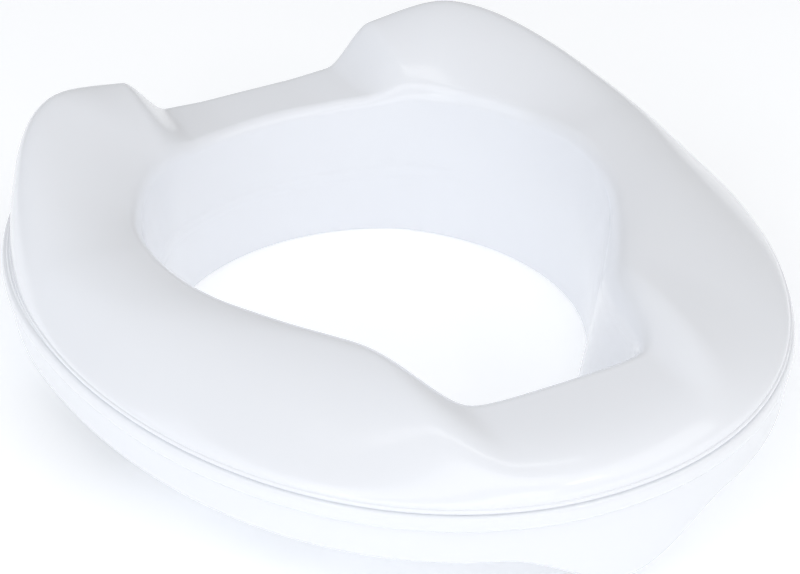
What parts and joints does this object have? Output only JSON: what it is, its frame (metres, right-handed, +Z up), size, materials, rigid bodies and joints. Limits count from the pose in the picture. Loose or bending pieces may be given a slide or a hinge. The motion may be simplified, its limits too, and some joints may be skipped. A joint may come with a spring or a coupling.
{
  "type": "raised toilet seat",
  "caption": "White moulded raised toilet seat ring with rear wings, front and rear dips, inner collar, front lobe and knob-locked clamp brackets underneath.",
  "frame": {"origin": "centre of the bounding box, at the foot of the inner collar", "axes": "+Z up, -Y towards the front of the seat, +X towards the right of someone facing the front of the seat from outside"},
  "size_m": [0.366, 0.408, 0.1093],
  "materials": {
    "seat_plastic": "satin gloss white",
    "base_plastic": "satin gloss white",
    "bracket_plastic": "fine matt white",
    "knob_plastic": "fine matt white",
    "rubber": "matt grey",
    "steel": "zinc plated",
    "brass": "turned"
  },
  "bodies": {
    "seat": {"seat_shell": "seat_plastic", "base_shell": "base_plastic", "case_screws": "steel", "rim_pad_front_left": "rubber", "rim_pad_front_right": "rubber", "rim_pad_rear_left": "rubber", "rim_pad_rear_right": "rubber", "bolt_front_left": "steel", "bolt_rear_left": "steel", "bolt_front_right": "steel", "bolt_rear_right": "steel"},
    "clamp_left": {"bracket_left": "bracket_plastic", "bracket_pad_left": "rubber"},
    "washer_body_front_left": {"washer_front_left": "steel"},
    "knob_body_front_left": {"knob_front_left": "knob_plastic", "knob_insert_front_left": "brass"},
    "washer_body_rear_left": {"washer_rear_left": "steel"},
    "knob_body_rear_left": {"knob_rear_left": "knob_plastic", "knob_insert_rear_left": "brass"},
    "clamp_right": {"bracket_right": "bracket_plastic", "bracket_pad_right": "rubber"},
    "washer_body_front_right": {"washer_front_right": "steel"},
    "knob_body_front_right": {"knob_front_right": "knob_plastic", "knob_insert_front_right": "brass"},
    "washer_body_rear_right": {"washer_rear_right": "steel"},
    "knob_body_rear_right": {"knob_rear_right": "knob_plastic", "knob_insert_rear_right": "brass"}
  },
  "joints": [
    {"name": "clamp_slide_left", "type": "slide", "parent": "seat", "child": "clamp_left", "axis": [-1, 0, 0], "range_m": [-0.005, 0.007]},
    {"name": "washer_drop_front_left", "type": "slide", "parent": "seat", "child": "washer_body_front_left", "axis": [0, 0, -1], "range_m": [0, 0.002]},
    {"name": "knob_turn_front_left", "type": "hinge", "parent": "washer_body_front_left", "child": "knob_body_front_left", "pos_m": [-0.146, 0.018, 0.043], "axis": [0, 0, -1], "range_deg": [0, 720]},
    {"name": "washer_drop_rear_left", "type": "slide", "parent": "seat", "child": "washer_body_rear_left", "axis": [0, 0, -1], "range_m": [0, 0.002]},
    {"name": "knob_turn_rear_left", "type": "hinge", "parent": "washer_body_rear_left", "child": "knob_body_rear_left", "pos_m": [-0.146, 0.066, 0.043], "axis": [0, 0, -1], "range_deg": [0, 720]},
    {"name": "clamp_slide_right", "type": "slide", "parent": "seat", "child": "clamp_right", "axis": [1, 0, 0], "range_m": [-0.005, 0.007]},
    {"name": "washer_drop_front_right", "type": "slide", "parent": "seat", "child": "washer_body_front_right", "axis": [0, 0, -1], "range_m": [0, 0.002]},
    {"name": "knob_turn_front_right", "type": "hinge", "parent": "washer_body_front_right", "child": "knob_body_front_right", "pos_m": [0.146, 0.018, 0.043], "axis": [0, 0, -1], "range_deg": [0, 720]},
    {"name": "washer_drop_rear_right", "type": "slide", "parent": "seat", "child": "washer_body_rear_right", "axis": [0, 0, -1], "range_m": [0, 0.002]},
    {"name": "knob_turn_rear_right", "type": "hinge", "parent": "washer_body_rear_right", "child": "knob_body_rear_right", "pos_m": [0.146, 0.066, 0.043], "axis": [0, 0, -1], "range_deg": [0, 720]}
  ],
  "couplings": [
    {"joint": "washer_drop_front_left", "follows": "knob_turn_front_left", "m_per_rad": 0.000159},
    {"joint": "washer_drop_rear_left", "follows": "knob_turn_rear_left", "m_per_rad": 0.000159},
    {"joint": "washer_drop_front_right", "follows": "knob_turn_front_right", "m_per_rad": 0.000159},
    {"joint": "washer_drop_rear_right", "follows": "knob_turn_rear_right", "m_per_rad": 0.000159}
  ]
}
